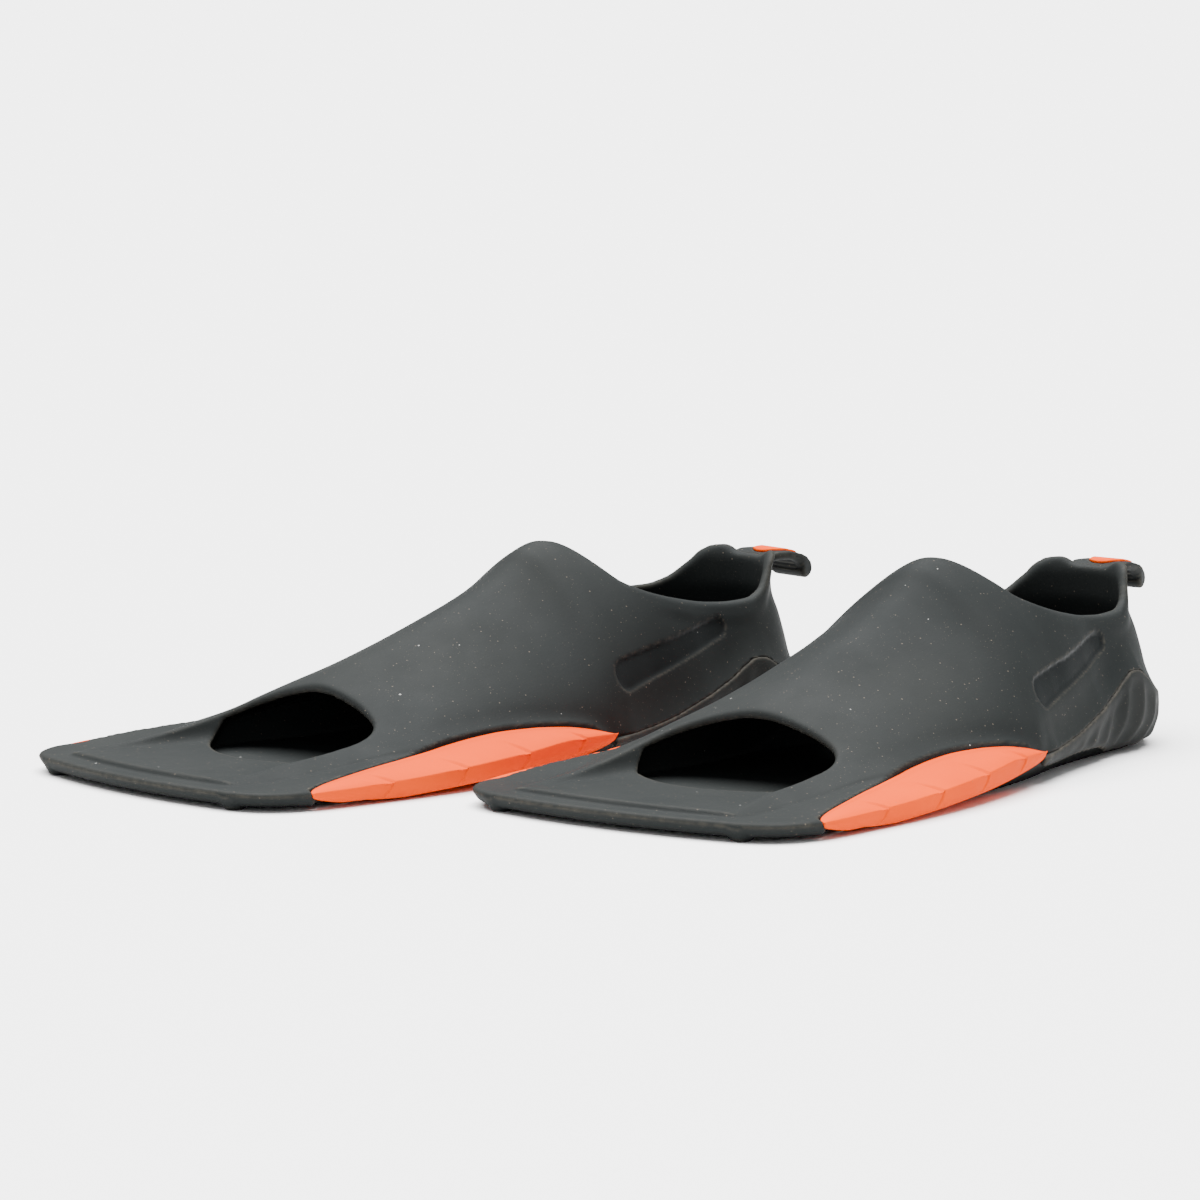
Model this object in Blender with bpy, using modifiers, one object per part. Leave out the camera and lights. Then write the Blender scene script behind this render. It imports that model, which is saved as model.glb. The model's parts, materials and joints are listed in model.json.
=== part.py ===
"""A pair of short full-foot swim fins, modelled in Blender 4.5, in metres, +Z up.

Each fin is drawn once in its own frame: X across the foot, Y from the blade's front corners
back to the heel, Z up from the floor. The finished fin is then placed twice, toes apart.

The soft rubber moulding bends in three places: in front of the toes, at the top of the heel
and at the root of the pull tab. It is divided there into blade, foot pocket, heel collar and
pull tab, and each moving piece hangs from an empty that lies on its hinge axis.
"""

import math

import bmesh
import bpy
import numpy as np
from mathutils import Matrix, Vector

# ---------------------------------------------------------------- driving dimensions
PLACES = {  # where each fin's origin stands, and how far it is turned about Z
    "left": (-0.1068, -0.2234, math.radians(-5.83)),
    "right": (0.1068, -0.1463, math.radians(5.83)),
}
GAP = 0.0003  # between two pieces that touch
WALL = 0.0035  # foot pocket's wall
SOLE_THICKNESS = 0.0062

BLADE_HINGE = (0.062, 0.0052)  # Y and Z of the bending line in front of the toes
BLADE_BACK_RADIUS = 0.0042
BLADE_BOTTOM = 0.002
BLADE_TOP = 0.0088
BLADE_FRONT = -0.013
BLADE_CORNER = (0.0915, 0.020)  # X and Y where the rounded front corner meets the side
PANEL_RISE = 0.0018
NUB = dict(x=0.0646, y=0.001, radius=0.005)

COLLAR_HINGE = (0.3552, 0.0460)
COLLAR_SEAM_FRONT = (0.2960, 0.0635)  # where the collar's lower seam reaches the topline

TAB_HINGE = (0.3515, 0.0802)
TAB_THICKNESS = 0.0042
TAB_ROOT_WIDTH = 0.030
TAB_END_WIDTH = 0.021
TAB_PATH = (
    (0.3515, 0.0802),
    (0.3590, 0.0812),
    (0.3670, 0.0806),
    (0.3745, 0.0782),
    (0.3805, 0.0742),
    (0.3842, 0.0694),
)
INLAY_THICKNESS = 0.0008
INLAY_SPAN = (0.12, 0.62)  # along the tab, from its root to its end
INLAY_HALF_WIDTH = 0.0085

INSERT_SPAN = (0.022, 0.204)
TOE_RIM = (  # half of the toe opening's rim: side, round the corner and over the toes
    (0.0800, 0.0672, 0.0152),
    (0.0670, 0.0672, 0.0168),
    (0.0560, 0.0672, 0.0188),
    (0.0535, 0.0760, 0.0215),
    (0.0480, 0.0865, 0.0260),
    (0.0380, 0.0935, 0.0300),
    (0.0200, 0.0965, 0.0345),
    (0.0000, 0.0970, 0.0360),
)
HEEL_CENTRE = 0.300  # Y of the upright axis that the heel is rounded about
HEEL_LEVELS = (  # height, half width beside the heel's centre, reach behind it
    (0.0000, 0.0440, 0.0540),
    (0.0065, 0.0505, 0.0600),
    (0.0160, 0.0530, 0.0640),
    (0.0320, 0.0500, 0.0590),
    (0.0460, 0.0455, 0.0545),
    (0.0600, 0.0400, 0.0485),
    (0.0780, 0.0330, 0.0500),
)
GUARD_THICKNESS = 0.0026
GUARD_CLEARANCE = 0.0009  # between facets of unlike size
GUARD_BOTTOM = 0.0022

COLOURS = {
    "rubber": (0.058, 0.062, 0.062),
    "sole": (0.046, 0.049, 0.049),
    "guard": (0.050, 0.054, 0.054),
    "orange": (0.90, 0.20, 0.075),
    "inlay": (1.0, 0.18, 0.03),
}


# ---------------------------------------------------------------- curves along the fin
def smooth(points):
    """A function that runs smoothly through (position, value) points, level past both ends."""
    at, value = np.array(points).T
    slope = np.gradient(value, at)

    def read(position):
        position = min(max(position, at[0]), at[-1])
        i = min(int(np.searchsorted(at, position, side="right")), len(at) - 1)
        width = at[i] - at[i - 1]
        t = (position - at[i - 1]) / width
        start = (2 * t**3 - 3 * t**2 + 1) * value[i - 1] + (t**3 - 2 * t**2 + t) * width * slope[i - 1]
        end = (3 * t**2 - 2 * t**3) * value[i] + (t**3 - t**2) * width * slope[i]
        return float(start + end)

    return read


crease_x = smooth([(0.022, 0.0905), (0.06, 0.0928), (0.10, 0.0920), (0.138, 0.0890),
                   (0.175, 0.0830), (0.204, 0.0790)])
crease_z = smooth([(0.022, 0.0082), (0.07, 0.0088), (0.11, 0.0110), (0.145, 0.0135),
                   (0.175, 0.0158), (0.204, 0.0150)])
insert_inner_x = smooth([(0.022, 0.0885), (0.035, 0.0860), (0.052, 0.0820), (0.074, 0.0790),
                         (0.105, 0.0750), (0.133, 0.0732), (0.170, 0.0738), (0.204, 0.0765)])
insert_upper_z = smooth([(0.022, 0.0100), (0.035, 0.0125), (0.052, 0.0150), (0.074, 0.0162),
                         (0.105, 0.0188), (0.133, 0.0228), (0.155, 0.0236), (0.175, 0.0222),
                         (0.190, 0.0190), (0.204, 0.0155)])
insert_lower_z = smooth([(0.022, 0.0055), (0.065, 0.0038), (0.105, 0.0026), (0.138, 0.0056),
                         (0.165, 0.0090), (0.188, 0.0130), (0.204, 0.0140)])
shoulder_x = smooth([(0.067, 0.0793), (0.105, 0.0742), (0.133, 0.0724), (0.170, 0.0728),
                     (0.190, 0.0738), (0.204, 0.0738), (0.225, 0.0685), (0.248, 0.0632),
                     (0.275, 0.0572), (0.300, 0.0530)])
shoulder_z = smooth([(0.067, 0.0152), (0.105, 0.0184), (0.133, 0.0222), (0.155, 0.0230),
                     (0.175, 0.0215), (0.204, 0.0160), (0.250, 0.0160)])
crest_z = smooth([(0.097, 0.0360), (0.114, 0.0470), (0.140, 0.0565), (0.165, 0.0655),
                  (0.186, 0.0740), (0.204, 0.0865), (0.216, 0.0922), (0.226, 0.0930),
                  (0.234, 0.0905)])
topline_z = smooth([(0.234, 0.0905), (0.244, 0.0762), (0.256, 0.0710), (0.274, 0.0660),
                    (0.300, 0.0620), (0.315, 0.0645), (0.330, 0.0745), (0.340, 0.0790),
                    (0.350, 0.0790)])
topline_x = smooth([(0.234, 0.0100), (0.238, 0.0280), (0.244, 0.0380), (0.256, 0.0400),
                    (0.280, 0.0390), (0.300, 0.0385)])
heel_half_width = smooth([(z, x) for z, x, reach in HEEL_LEVELS])
heel_reach = smooth([(z, reach) for z, x, reach in HEEL_LEVELS])
guard_edge_z = smooth([(0.206, 0.0155), (0.230, 0.0200), (0.255, 0.0262), (0.280, 0.0345),
                       (0.300, 0.0395), (0.315, 0.0400), (0.330, 0.0340), (0.345, 0.0275),
                       (0.365, 0.0250)])
sole_x = smooth([(0.067, 0.0745), (0.100, 0.0725), (0.150, 0.0690), (0.205, 0.0610),
                 (0.250, 0.0510), (0.275, 0.0455), (0.300, 0.0425)])


def heel_point(turn, z, offset=0.0):
    """A point on the rounded heel: turn runs from 0 at the side to pi/2 at the back."""
    across = (heel_half_width(z) + offset) * math.cos(turn)
    back = HEEL_CENTRE + (heel_reach(z) + offset) * math.sin(turn)
    return Vector((across, back, z))


# ---------------------------------------------------------------- building helpers
def new_collection(name):
    collection = bpy.data.collections.new(name)
    bpy.context.scene.collection.children.link(collection)
    return collection


def material(name, colour, roughness=0.62):
    made = bpy.data.materials.get(name)
    if made is None:
        made = bpy.data.materials.new(name)
        made.use_nodes = True
        shader = made.node_tree.nodes["Principled BSDF"]
        shader.inputs["Base Color"].default_value = (*colour, 1.0)
        shader.inputs["Roughness"].default_value = roughness
        shader.inputs["Metallic"].default_value = 0.0
    return made


def mesh_object(name, points, faces, collection):
    mesh = bpy.data.meshes.new(name)
    mesh.from_pydata([tuple(p) for p in points], [], faces)
    mesh.update()
    made = bpy.data.objects.new(name, mesh)
    collection.objects.link(made)
    return made


def sheet(name, columns, collection):
    """An open surface through columns that all have the same number of points."""
    rows = len(columns[0])
    points = [p for column in columns for p in column]
    faces = []
    for c in range(len(columns) - 1):
        for r in range(rows - 1):
            a = c * rows + r
            faces.append((a, a + 1, a + rows + 1, a + rows))
    return mesh_object(name, points, faces, collection)


def loft(name, loops, collection):
    """A closed solid through closed loops, with flat ends."""
    count = len(loops[0])
    points = [p for loop in loops for p in loop]
    faces = []
    for k in range(len(loops) - 1):
        for i in range(count):
            j = (i + 1) % count
            faces.append((k * count + i, k * count + j, (k + 1) * count + j, (k + 1) * count + i))
    faces.append(tuple(reversed(range(count))))
    faces.append(tuple(range((len(loops) - 1) * count, len(loops) * count)))
    return mesh_object(name, points, faces, collection)


def side_prism(name, outline, half_width, collection):
    """A cutter: a closed outline of (Y, Z) points, extended across the whole fin."""
    loops = [[(x, y, z) for y, z in outline] for x in (-half_width, half_width)]
    made = loft(name, loops, collection)
    made.hide_render = True
    made.display_type = "WIRE"
    return made


def modified(target, kind, **settings):
    modifier = target.modifiers.new(kind.title(), kind)
    for setting, value in settings.items():
        setattr(modifier, setting, value)
    return target


def boolean(target, operation, other):
    return modified(target, "BOOLEAN", operation=operation, object=other, solver="EXACT")


def mirrored(target):
    return modified(target, "MIRROR", use_axis=(True, False, False), merge_threshold=0.0001)


def thickened(target, thickness, offset=-1.0):
    return modified(target, "SOLIDIFY", thickness=thickness, offset=offset,
                    use_even_offset=True, use_quality_normals=True)


def settle(target):
    """Apply the modifiers, merge what coincides and turn every face outwards."""
    shape = target.evaluated_get(bpy.context.evaluated_depsgraph_get())
    mesh = bpy.data.meshes.new_from_object(shape)
    target.modifiers.clear()
    target.data = mesh
    work = bmesh.new()
    work.from_mesh(mesh)
    bmesh.ops.remove_doubles(work, verts=work.verts, dist=0.00002)
    bmesh.ops.dissolve_degenerate(work, edges=work.edges, dist=0.00001)
    bmesh.ops.recalc_face_normals(work, faces=work.faces)
    work.to_mesh(mesh)
    work.free()
    mesh.update()
    return target


def finish(target, colour, roughness=0.62):
    target.data.materials.clear()
    target.data.materials.append(material(colour, COLOURS[colour], roughness))
    target.data.shade_smooth()
    target.data.set_sharp_from_angle(angle=math.radians(38))
    return target


# ---------------------------------------------------------------- blade and sole
def blade(name, parts, cutters):
    """Flat plate with a bowed front, raised panel, two nubs and a round back edge."""
    corner_x, corner_y = BLADE_CORNER
    hinge_y, hinge_z = BLADE_HINGE
    right = []
    for k in range(9):  # front edge, from its middle to where the corner starts
        x = 0.068 * k / 8
        right.append((x, BLADE_FRONT + 0.0062 * (x / 0.068) ** 2))
    for turn in np.linspace(0.35, 1.5, 7):  # rounded corner
        right.append((corner_x - 0.0232 * (1 - math.sin(turn)),
                      corner_y - 0.0268 * math.cos(turn)))
    right += [(insert_inner_x(y) - GAP, y) for y in np.linspace(INSERT_SPAN[0], hinge_y, 9)]
    outline = right + [(-x, y) for x, y in reversed(right[1:])]
    bevel = 0.0018
    layers = []
    for z, inset in ((BLADE_BOTTOM, bevel), (BLADE_BOTTOM + bevel, 0.0),
                     (BLADE_TOP - bevel, 0.0), (BLADE_TOP, bevel)):
        layers.append([(x * (1 - inset / corner_x), y + (inset if y < 0.010 else 0.0), z)
                       for x, y in outline])
    plate = settle(loft(name, layers, parts))
    bpy.ops.mesh.primitive_cylinder_add(
        vertices=32, radius=BLADE_BACK_RADIUS, depth=2 * (insert_inner_x(hinge_y) - 0.0006),
        location=(0, hinge_y, hinge_z), rotation=(0, math.pi / 2, 0))
    back = as_cutter(cutters)
    panel = side_panel(name + "_panel", cutters)
    boolean(plate, "UNION", back)
    boolean(plate, "UNION", panel)
    for side in (-1, 1):
        bpy.ops.mesh.primitive_cone_add(
            vertices=16, radius1=NUB["radius"] * 0.75, radius2=NUB["radius"],
            depth=BLADE_BOTTOM + 0.001,
            location=(side * NUB["x"], NUB["y"], (BLADE_BOTTOM + 0.001) / 2))
        boolean(plate, "UNION", as_cutter(cutters))
    return finish(settle(plate), "rubber")


def side_panel(name, cutters):
    """The raised flat panel of the blade, narrowing towards the toes."""
    loops = []
    for z, inset in ((BLADE_TOP - 0.001, 0.0), (BLADE_TOP + PANEL_RISE, 0.0015)):
        front = BLADE_FRONT + 0.0115 + inset
        loops.append([
            (-0.062 + inset, front + 0.007, z),
            (0.0, front, z),
            (0.062 - inset, front + 0.007, z),
            (0.052 - inset, 0.0545 - inset, z),
            (-0.052 + inset, 0.0545 - inset, z),
        ])
    panel = loft(name, loops, cutters)
    panel.hide_render = True
    panel.display_type = "WIRE"
    return settle(panel)


def as_cutter(cutters):
    """Move the primitive just added among the cutters."""
    made = bpy.context.active_object
    for collection in list(made.users_collection):
        collection.objects.unlink(made)
    cutters.objects.link(made)
    made.hide_render = True
    made.display_type = "WIRE"
    return made


def sole(name, parts):
    """The foot bed that the pocket stands on, rounded at the heel."""
    start = BLADE_HINGE[0] + BLADE_BACK_RADIUS + 0.0008
    loops = []
    for z, spread in ((0.0, 0.0), (0.0022, 0.0015), (SOLE_THICKNESS, 0.0024)):
        right = []
        for y in np.linspace(start, HEEL_CENTRE, 16):
            right.append((sole_x(y) + spread, y, z))
        for turn in np.linspace(0.0, math.pi / 2, 9)[1:]:
            right.append(((sole_x(HEEL_CENTRE) + spread) * math.cos(turn),
                          HEEL_CENTRE + (0.0520 + spread) * math.sin(turn), z))
        left = [(-x, y, z) for x, y, z in reversed(right[:-1])]
        loops.append(right + left)
    return finish(settle(loft(name, loops, parts)), "sole", 0.68)


# ---------------------------------------------------------------- foot pocket and heel
COLUMN_POINTS = 11
FIRST_ARCH = 0.112  # Y where the pocket first closes over the toes
SKIRT_FROM = SOLE_THICKNESS + 0.0008  # the wall's inner edge dips lower than its outer one


def arch_column(y):
    """From the pocket's lower edge up its side and over to the middle of the instep."""
    x, z, top = shoulder_x(y), shoulder_z(y), crest_z(y)
    column = [Vector((x - 0.0006, y, SKIRT_FROM)), Vector((x, y, (SKIRT_FROM + z) / 2))]
    for turn in np.linspace(0.0, math.pi / 2, COLUMN_POINTS - 2):
        column.append(Vector((x * math.cos(turn) ** 0.92, y, z + (top - z) * math.sin(turn) ** 0.92)))
    column[-1].x = 0.0
    return column


def ankle_column(y):
    """From the pocket's lower edge up its side to the ankle opening's edge."""
    x, z = shoulder_x(y), shoulder_z(y)
    top = Vector((topline_x(y), y, topline_z(y)))
    column = [Vector((x - 0.0020, y, SKIRT_FROM)), Vector((x, y, (SKIRT_FROM + z) / 2))]
    low = Vector((x, y, z))
    pull = Vector((x - 0.002, y, z + 0.55 * (top.z - z)))
    for t in np.linspace(0.0, 1.0, COLUMN_POINTS - 2):
        column.append(low * (1 - t) ** 2 + pull * 2 * t * (1 - t) + top * t**2)
    return column


def heel_column(turn):
    """From the pocket's lower edge up the rounded heel to the ankle opening's edge."""
    top = topline_z(HEEL_CENTRE + 0.050 * math.sin(turn))
    return [heel_point(turn, z) for z in np.linspace(SKIRT_FROM, top, COLUMN_POINTS)]


def rim_column():
    """From the pocket's lower edge up its front face and round the toe opening."""
    column = [Vector((TOE_RIM[0][0] - 0.0006, TOE_RIM[0][1], SKIRT_FROM))]
    column += [Vector(point) for point in TOE_RIM]
    return resampled(column, COLUMN_POINTS)


def resampled(points, count):
    """The same line of points, at even steps along its length."""
    steps = [0.0]
    for a, b in zip(points, points[1:]):
        steps.append(steps[-1] + (b - a).length)
    line = []
    for at in np.linspace(0.0, steps[-1], count):
        i = min(max(int(np.searchsorted(steps, at)), 1), len(points) - 1)
        t = (at - steps[i - 1]) / (steps[i] - steps[i - 1])
        line.append(points[i - 1].lerp(points[i], t))
    return line


def pocket_shell(name, collection):
    """The whole wall, heel included, before the collar is cut off it."""
    first = rim_column()
    whole = arch_column(FIRST_ARCH)
    columns = [first]
    for share in (0.35, 0.7):  # between the toe opening's rim and the first whole arch
        columns.append([a.lerp(b, share) for a, b in zip(first, whole)])
    columns += [arch_column(y) for y in np.linspace(FIRST_ARCH, 0.232, 13)]
    columns += [ankle_column(y) for y in (0.236, 0.242, 0.250, 0.262, 0.276, 0.289)]
    columns += [heel_column(turn) for turn in np.linspace(0.0, math.pi / 2, 11)]
    columns[-1] = [Vector((0.0, p.y, p.z)) for p in columns[-1]]
    shell = sheet(name, columns, collection)
    mirrored(shell)
    settle(shell)
    return settle(thickened(shell, WALL))


def seam_cutter(name, shift, cutters):
    """Everything above the collar's lower seam, which is moved up by shift."""
    (back_y, back_z), (front_y, front_z) = COLLAR_HINGE, COLLAR_SEAM_FRONT
    outline = [
        (back_y + 0.030, back_z + shift),
        (back_y, back_z + shift),
        (front_y, front_z + shift),
        (front_y - 0.006, front_z + 0.025),
        (front_y - 0.006, 0.120),
        (back_y + 0.030, 0.120),
    ]
    return settle(side_prism(name, outline, 0.080, cutters))


def foot_pocket(name, parts, cutters):
    shell = pocket_shell(name, parts)
    boolean(shell, "DIFFERENCE", seam_cutter(name + "_seam", -GAP / 2, cutters))
    return finish(settle(shell), "rubber")


def heel_collar(name, parts, cutters):
    shell = pocket_shell(name, parts)
    boolean(shell, "INTERSECT", seam_cutter(name + "_seam", GAP / 2, cutters))
    return finish(settle(shell), "rubber")


# ---------------------------------------------------------------- guard, inserts and tab
def guard_column(y_or_turn, at_heel):
    """One rib or valley of the heel guard, on the outside of the pocket."""
    count = 7
    if at_heel:
        turn = y_or_turn
        top = guard_edge_z(HEEL_CENTRE + 0.065 * math.sin(turn))
        return [heel_point(turn, z, GUARD_CLEARANCE) for z in np.linspace(GUARD_BOTTOM, top, count)]
    y = y_or_turn
    wall = ankle_column(y) if y > 0.232 else arch_column(y)
    heights = [p.z for p in wall]
    across = [p.x for p in wall]
    column = []
    for z in np.linspace(GUARD_BOTTOM, guard_edge_z(y), count):
        x = float(np.interp(z, heights, across)) - max(0.0, SKIRT_FROM - z) * 0.5
        column.append(Vector((x + GUARD_CLEARANCE, y, z)))
    return column


def heel_guard(name, parts):
    """A ribbed band wrapped round the heel, thickest on each rib."""
    columns = [guard_column(y, False) for y in np.linspace(0.2085, 0.294, 12)]
    columns += [guard_column(turn, True) for turn in np.linspace(0.0, math.pi / 2, 15)]
    columns[-1] = [Vector((0.0, p.y, p.z)) for p in columns[-1]]
    band = sheet(name, columns, parts)
    mirrored(band)
    settle(band)
    return finish(settle(thickened(band, GUARD_THICKNESS, offset=1.0)), "guard", 0.7)


def side_insert(name, side, parts):
    """The leaf-shaped orange wedge let into one edge of the fin."""
    loops = []
    start, end = INSERT_SPAN
    for y in np.linspace(start, end, 22):
        inner = insert_inner_x(y) + GAP
        outer = max(crease_x(y), inner + 0.0012)
        low, crease, high = insert_lower_z(y), crease_z(y), insert_upper_z(y)
        low = max(low, 0.0005)
        loop = [(inner, y, low), (outer - 0.0012, y, low), (outer, y, low + 0.0012),
                (outer, y, max(crease, low + 0.0018)), (inner, y, max(high, crease + 0.0006))]
        loops.append([(side * x, y, z) for x, y, z in loop])
    return finish(settle(loft(name, loops, parts)), "orange", 0.5)


def tab_frame(share):
    """Place, forward direction and upward direction at a share of the tab's length."""
    path = [Vector((0.0, y, z)) for y, z in TAB_PATH]
    line = resampled(path, 33)
    i = min(int(share * 32), 31)
    point = line[i].lerp(line[i + 1], share * 32 - i)
    forward = (line[min(i + 2, 32)] - line[max(i - 1, 0)]).normalized()
    up = Vector((1, 0, 0)).cross(forward)
    return point, forward, up


def pull_tab(name, parts):
    """A tongue that leaves the heel backwards and curls down to a rounded end."""
    loops = []
    for share in np.linspace(0.0, 1.0, 17):
        point, forward, up = tab_frame(share)
        half = (TAB_ROOT_WIDTH + (TAB_END_WIDTH - TAB_ROOT_WIDTH) * min(share * 1.8, 1.0)) / 2
        if share > 0.85:
            half *= math.sqrt(max(1 - ((share - 0.85) / 0.19) ** 2, 0.1))
        thick = TAB_THICKNESS / 2
        loop = []
        for x, z in ((-1, -0.35), (-0.9, -1), (0.9, -1), (1, -0.35), (1, 0.35), (0.9, 1),
                     (-0.9, 1), (-1, 0.35)):
            loop.append(point + Vector((x * half, 0, 0)) + up * z * thick)
        loops.append(loop)
    return finish(settle(loft(name, loops, parts)), "rubber")


def tab_inlay(name, parts):
    """The orange oval set on top of the pull tab."""
    loops = []
    start, end = INLAY_SPAN
    for turn in np.linspace(0.0, math.pi, 15):
        share = start + (end - start) * (1 - math.cos(turn)) / 2
        point, forward, up = tab_frame(share)
        half = max(INLAY_HALF_WIDTH * math.sin(turn), 0.0009)
        low = TAB_THICKNESS / 2 + GAP
        high = low + INLAY_THICKNESS
        loops.append([point + Vector((x * half, 0, 0)) + up * z
                      for x, z in ((-1, low), (1, low), (1, high), (-1, high))])
    return finish(settle(loft(name, loops, parts)), "inlay", 0.5)


# ---------------------------------------------------------------- the pair
def fin(side, parts, cutters):
    """One fin in its place, with its moving pieces on empties on the hinge axes."""
    x, y, turn = PLACES[side]
    place = Matrix.Translation((x, y, 0)) @ Matrix.Rotation(turn, 4, "Z")
    outer, inner = (-1, 1) if side == "left" else (1, -1)
    fixed = [
        sole(side + "_sole", parts),
        foot_pocket(side + "_foot_pocket", parts, cutters),
        heel_guard(side + "_heel_guard", parts),
        side_insert(side + "_outer_insert", outer, parts),
        side_insert(side + "_inner_insert", inner, parts),
    ]
    for piece in fixed:
        piece.matrix_world = place
    tab = [pull_tab(side + "_pull_tab", parts), tab_inlay(side + "_tab_inlay", parts)]
    groups = (
        ("blade_hinge", BLADE_HINGE, [blade(side + "_blade", parts, cutters)]),
        ("collar_hinge", COLLAR_HINGE, [heel_collar(side + "_heel_collar", parts, cutters)]),
        ("tab_hinge", TAB_HINGE, tab),
    )
    hinges = {}
    for name, (hinge_y, hinge_z), pieces in groups:
        hinge = bpy.data.objects.new(side + "_" + name, None)
        parts.objects.link(hinge)
        hinge.matrix_world = place @ Matrix.Translation((0, hinge_y, hinge_z))
        hinges[name] = hinge
        for piece in pieces:
            piece.data.transform(Matrix.Translation((0, -hinge_y, -hinge_z)))
            piece.parent = hinge
    tab_local = hinges["tab_hinge"].matrix_world.copy()
    hinges["tab_hinge"].parent = hinges["collar_hinge"]
    hinges["tab_hinge"].matrix_parent_inverse = hinges["collar_hinge"].matrix_world.inverted()
    hinges["tab_hinge"].matrix_world = tab_local


def main():
    for old in list(bpy.data.objects):
        bpy.data.objects.remove(old, do_unlink=True)
    parts = new_collection("swim_fins")
    cutters = new_collection("cutters")
    for side in PLACES:
        fin(side, parts, cutters)
    bpy.context.view_layer.update()


main()
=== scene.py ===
"""The looks of a pair of short swim fins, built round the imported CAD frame.

Each fin is drawn once in its own frame, in millimetres: X across the foot, Y from the blade's
front corners back to the heel, Z up from the floor. Its soft moulding is a solid described by
distance functions, which surface_net() turns into an even quad mesh with its points on the
solid's surface. add_piece() then puts each mesh where the CAD's own hinges say the fin stands.
"""

import json
import math

import bmesh
import bpy
import numpy as np
from mathutils import Matrix, Vector


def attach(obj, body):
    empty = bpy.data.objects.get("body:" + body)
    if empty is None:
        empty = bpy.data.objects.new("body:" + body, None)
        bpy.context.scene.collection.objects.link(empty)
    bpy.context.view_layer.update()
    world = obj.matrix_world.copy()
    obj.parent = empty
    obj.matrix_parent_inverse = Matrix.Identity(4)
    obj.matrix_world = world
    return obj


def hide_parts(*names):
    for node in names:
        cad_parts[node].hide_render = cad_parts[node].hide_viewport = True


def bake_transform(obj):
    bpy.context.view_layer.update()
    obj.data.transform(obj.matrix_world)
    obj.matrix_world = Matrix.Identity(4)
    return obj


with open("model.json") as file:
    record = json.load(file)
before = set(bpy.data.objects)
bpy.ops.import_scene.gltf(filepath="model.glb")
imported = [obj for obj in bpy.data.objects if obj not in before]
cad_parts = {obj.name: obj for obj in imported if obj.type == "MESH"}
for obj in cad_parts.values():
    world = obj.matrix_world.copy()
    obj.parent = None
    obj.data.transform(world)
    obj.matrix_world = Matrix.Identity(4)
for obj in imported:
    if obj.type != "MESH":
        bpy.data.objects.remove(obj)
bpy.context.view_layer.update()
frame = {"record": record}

MM = 0.001
STEP = 1.3  # size of a mesh face, mm

# ---------------------------------------------------------------- driving sizes, mm
BLADE_HINGE = (62.0, 5.2)  # Y and Z of the blade's hinge line, as the CAD has it
FRONT_BOW = 13.0  # how far the blade's front edge bows forward
CORNER_X = 68.0  # where that bow has fallen back by BOW_FALL
BOW_FALL = 7.0
WALL = 3.6
GUARD_PROUD = 3.2  # how far the heel guard's edge stands out
FLUTE = 15.0  # spacing of the guard's flutes
FLOOR = 5.0  # top of the foot bed
INSERT_SPAN = (22.0, 205.0)
INSERT_ROW = 1.2
CHEVRONS = (66.0, 107.5, 146.0, 183.0)  # where the inserts' steps meet their crease
LEAN_TOP, LEAN_SIDE = 11.0, 7.0  # how far forward the steps run over the top and down the side
TOP_SHARES = (0.0, 0.015, 0.035, 0.06, 0.09, 0.13, 0.2, 0.3, 0.4, 0.5, 0.6, 0.7, 0.8, 0.9, 0.97, 1.0)
SIDE_SHARES = (0.06, 0.15, 0.3, 0.45, 0.6, 0.75, 0.9, 1.0)
GUARD_START = 206.0
HEEL_CENTRE = 300.0
HEEL_RADIUS = 55.0  # mean radius of the heel's outline
SOLE_START = 98.0
SPLIT = 190.0  # where the moulding's mesh is parted into a front and a rear piece
SMOOTH_ROUNDS = 3
CAPSULE = ((222.0, 38.0), (292.0, 52.0))  # ends of the side panel's middle line
TAB_LINE = ((351.2, 69.0), (351.6, 73.0), (353.6, 75.8), (357.5, 77.0), (363, 76.8), (368, 75.6),
            (371.6, 74.0), (374.0, 72.2), (375.2, 70.4), (375.3, 69.4))

# Low and high corner of the space that each mesh is sought in, on the fin's +X side.
SKIN_BOX = (0.0, -17.0, -3.0), (97.0, 369.0, 97.0)
TAB_BOX = (0.0, 338.0, 58.0), (19.0, 392.0, 88.0)
GUARD_BOX = (0.0, 196.0, -3.0), (84.0, 374.0, 50.0)
SOLE_BOX = (0.0, 90.0, -2.0), (84.0, 360.0, 4.0)

# ---------------------------------------------------------------- studio
CAMERA_PLACE = (2.1463, -2.2350, 0.4674)  # m
CAMERA_TURN = (82.75, 0.0, 44.47)  # degrees
CAMERA_LENS, CAMERA_SENSOR = 210.0, 36.0  # mm
FLOOR_SIZE = 60.0  # m
FLOOR_GREY = (0.86, 0.86, 0.86, 1.0)
FLOOR_DROP = 0.0002  # m, so that the floor doesn't coincide with the soles
WORLD_STRENGTH = 0.60
SKY_STRENGTH, SKY_WIDTH = 17.0, 70.0  # W/m2 and degrees
SKY_TURN = (-5.0, -12.0, 0.0)  # degrees
FILL_PLACE, FILL_TARGET = (1.7, -2.0, 0.8), (0, 0, 0.03)  # m
FILL_SIZE, FILL_POWER = (1.0, 1.0), 10.0  # m and W

# ---------------------------------------------------------------- dust on the rubber
DUST = (  # cells a metre, share of cells with a speck, size of a speck, strength, colour
    (900.0, 0.3, 0.22, 0.25, (0.10, 0.085, 0.065)),
    (420.0, 0.3, 0.17, 0.35, (0.16, 0.13, 0.10)),
    (150.0, 0.09, 0.09, 0.6, (0.36, 0.36, 0.34)),
)
GLOSS_COLOUR = (0.005, 0.006, 0.0065)
GLOSS_ROUGHNESS = 0.34


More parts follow.
